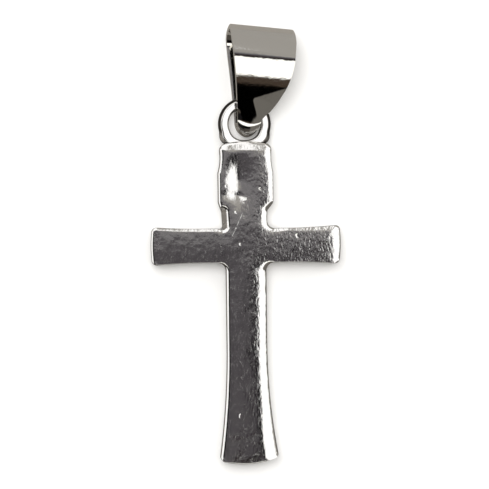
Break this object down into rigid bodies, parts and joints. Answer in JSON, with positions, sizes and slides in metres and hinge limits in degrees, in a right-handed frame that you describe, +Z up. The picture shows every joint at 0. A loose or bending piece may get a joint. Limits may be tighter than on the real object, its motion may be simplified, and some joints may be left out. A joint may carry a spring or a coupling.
{
  "type": "cross pendant with bail",
  "caption": "Small polished cross pendant with flared arms and foot, a capped head, a soldered wire loop and a loose folded bail that tapers into the loop, lying on its back.",
  "frame": {"origin": "where the middle of the crossbar meets the middle of the stem, on the flat back that the pendant lies on", "axes": "+Y from the foot of the cross to its head and bail, +X to the right seen from the front, +Z up out of the front"},
  "size_m": [0.0162, 0.0373, 0.0035],
  "materials": {
    "cast_silver": "cast silver, polished, with fine hairline scratches, pits and a slightly uneven face",
    "sheet_silver": "rolled silver sheet, folded and mirror polished"
  },
  "bodies": {
    "root": {"cross_with_loop": "cast_silver", "tapered_bail": "sheet_silver"}
  },
  "joints": []
}
